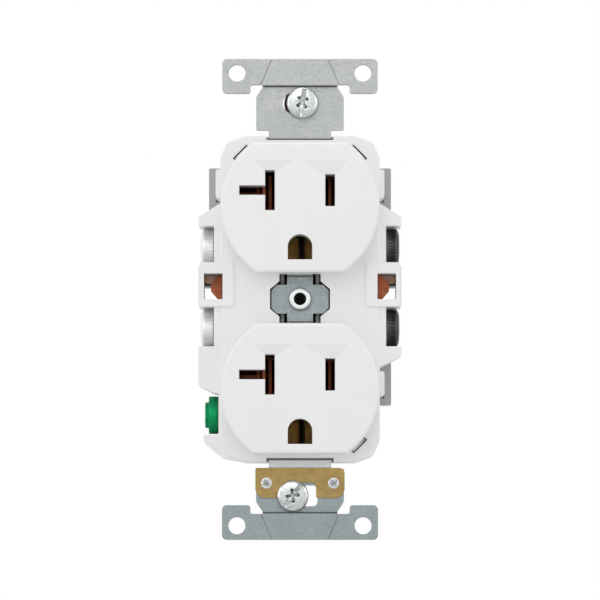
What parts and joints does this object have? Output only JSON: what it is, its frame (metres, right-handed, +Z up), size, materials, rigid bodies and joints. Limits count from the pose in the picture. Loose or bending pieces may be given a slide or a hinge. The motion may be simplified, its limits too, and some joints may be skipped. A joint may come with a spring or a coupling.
{
  "type": "duplex wall receptacle",
  "caption": "White duplex wall receptacle with T-slot outlets, steel mounting strap, side screw terminals and a green ground screw.",
  "frame": {"origin": "centre of the wall-plate screw hole, in the plane of the fronts of the strap's ears", "axes": "+X to the right seen from the front, +Y into the wall, +Z up along the strap"},
  "size_m": [0.043, 0.0321, 0.102],
  "materials": {
    "white_plastic": "smooth moulded nylon with a satin gloss",
    "grey_plastic": "moulded thermoplastic, fine matte",
    "galvanised_steel": "galvanised steel with fine spangle",
    "clip_brass": "rolled brass",
    "contact_brass": "rolled brass",
    "bus_copper": "rolled copper alloy",
    "tie_steel": "plain steel strip",
    "clamp_steel": "zinc-plated steel",
    "black_screw": "black oxide steel",
    "silver_screw": "nickel-plated steel",
    "green_screw": "green passivated steel",
    "zinc_screw": "bright zinc-plated steel",
    "fibre": "black vulcanised fibre"
  },
  "bodies": {
    "device": {"front_cover": "white_plastic", "back_body": "grey_plastic", "yoke": "galvanised_steel", "self_ground_clip": "clip_brass", "clip_rivets": "galvanised_steel", "contact_rivets": "galvanised_steel", "ground_terminal": "contact_brass", "upper_ground_contact": "contact_brass", "lower_ground_contact": "contact_brass", "hot_bus": "bus_copper", "neutral_bus": "bus_copper", "upper_left_assembly_clip": "tie_steel", "upper_right_assembly_clip": "tie_steel", "lower_right_assembly_clip": "tie_steel"},
    "upper_neutral_clamp": {"upper_neutral_clamp": "clamp_steel"},
    "upper_neutral_screw": {"upper_neutral_screw": "silver_screw"},
    "lower_neutral_clamp": {"lower_neutral_clamp": "clamp_steel"},
    "lower_neutral_screw": {"lower_neutral_screw": "silver_screw"},
    "upper_hot_clamp": {"upper_hot_clamp": "clamp_steel"},
    "upper_hot_screw": {"upper_hot_screw": "black_screw"},
    "lower_hot_clamp": {"lower_hot_clamp": "clamp_steel"},
    "lower_hot_screw": {"lower_hot_screw": "black_screw"},
    "ground_clamp": {"ground_clamp": "clamp_steel"},
    "ground_screw": {"ground_screw": "green_screw"},
    "upper_screw_washer": {"upper_screw_washer": "fibre"},
    "upper_mounting_screw": {"upper_mounting_screw": "zinc_screw"},
    "lower_screw_washer": {"lower_screw_washer": "fibre"},
    "lower_mounting_screw": {"lower_mounting_screw": "zinc_screw"}
  },
  "joints": [
    {"name": "upper_neutral_clamp_slide", "type": "slide", "parent": "device", "child": "upper_neutral_clamp", "axis": [-1, 0, 0], "range_m": [-0.00088, 0.00159]},
    {"name": "upper_neutral_screw_turn", "type": "hinge", "parent": "upper_neutral_clamp", "child": "upper_neutral_screw", "pos_m": [-0.0184, 0.0085, 0.01133], "axis": [-1, 0, 0], "range_deg": [-400, 720]},
    {"name": "lower_neutral_clamp_slide", "type": "slide", "parent": "device", "child": "lower_neutral_clamp", "axis": [-1, 0, 0], "range_m": [-0.00088, 0.00159]},
    {"name": "lower_neutral_screw_turn", "type": "hinge", "parent": "lower_neutral_clamp", "child": "lower_neutral_screw", "pos_m": [-0.0184, 0.0085, -0.00585], "axis": [-1, 0, 0], "range_deg": [-400, 720]},
    {"name": "upper_hot_clamp_slide", "type": "slide", "parent": "device", "child": "upper_hot_clamp", "axis": [1, 0, 0], "range_m": [-0.00088, 0.00159]},
    {"name": "upper_hot_screw_turn", "type": "hinge", "parent": "upper_hot_clamp", "child": "upper_hot_screw", "pos_m": [0.0184, 0.0085, 0.01133], "axis": [1, 0, 0], "range_deg": [-400, 720]},
    {"name": "lower_hot_clamp_slide", "type": "slide", "parent": "device", "child": "lower_hot_clamp", "axis": [1, 0, 0], "range_m": [-0.00088, 0.00159]},
    {"name": "lower_hot_screw_turn", "type": "hinge", "parent": "lower_hot_clamp", "child": "lower_hot_screw", "pos_m": [0.0184, 0.0085, -0.00585], "axis": [1, 0, 0], "range_deg": [-400, 720]},
    {"name": "ground_clamp_slide", "type": "slide", "parent": "device", "child": "ground_clamp", "axis": [-1, 0, 0], "range_m": [-0.00088, 0.00159]},
    {"name": "ground_screw_turn", "type": "hinge", "parent": "ground_clamp", "child": "ground_screw", "pos_m": [-0.0174, 0.0085, -0.0244], "axis": [-1, 0, 0], "range_deg": [-400, 720]},
    {"name": "upper_washer_slide", "type": "slide", "parent": "device", "child": "upper_screw_washer", "axis": [1, 0, 0], "range_m": [-0.00265, 0.00165]},
    {"name": "upper_mounting_screw_turn", "type": "hinge", "parent": "upper_screw_washer", "child": "upper_mounting_screw", "pos_m": [0.0005, 0, 0.04167], "axis": [0, 1, 0], "continuous": true},
    {"name": "lower_washer_slide", "type": "slide", "parent": "device", "child": "lower_screw_washer", "axis": [1, 0, 0], "range_m": [-0.0006, 0.0033]},
    {"name": "lower_mounting_screw_turn", "type": "hinge", "parent": "lower_screw_washer", "child": "lower_mounting_screw", "pos_m": [-0.00155, 0, -0.04167], "axis": [0, 1, 0], "continuous": true}
  ],
  "couplings": [
    {"joint": "upper_neutral_screw_turn", "follows": "upper_neutral_clamp_slide", "rad_per_m": 7913.3},
    {"joint": "lower_neutral_screw_turn", "follows": "lower_neutral_clamp_slide", "rad_per_m": 7913.3},
    {"joint": "upper_hot_screw_turn", "follows": "upper_hot_clamp_slide", "rad_per_m": 7913.3},
    {"joint": "lower_hot_screw_turn", "follows": "lower_hot_clamp_slide", "rad_per_m": 7913.3},
    {"joint": "ground_screw_turn", "follows": "ground_clamp_slide", "rad_per_m": 7913.3}
  ]
}
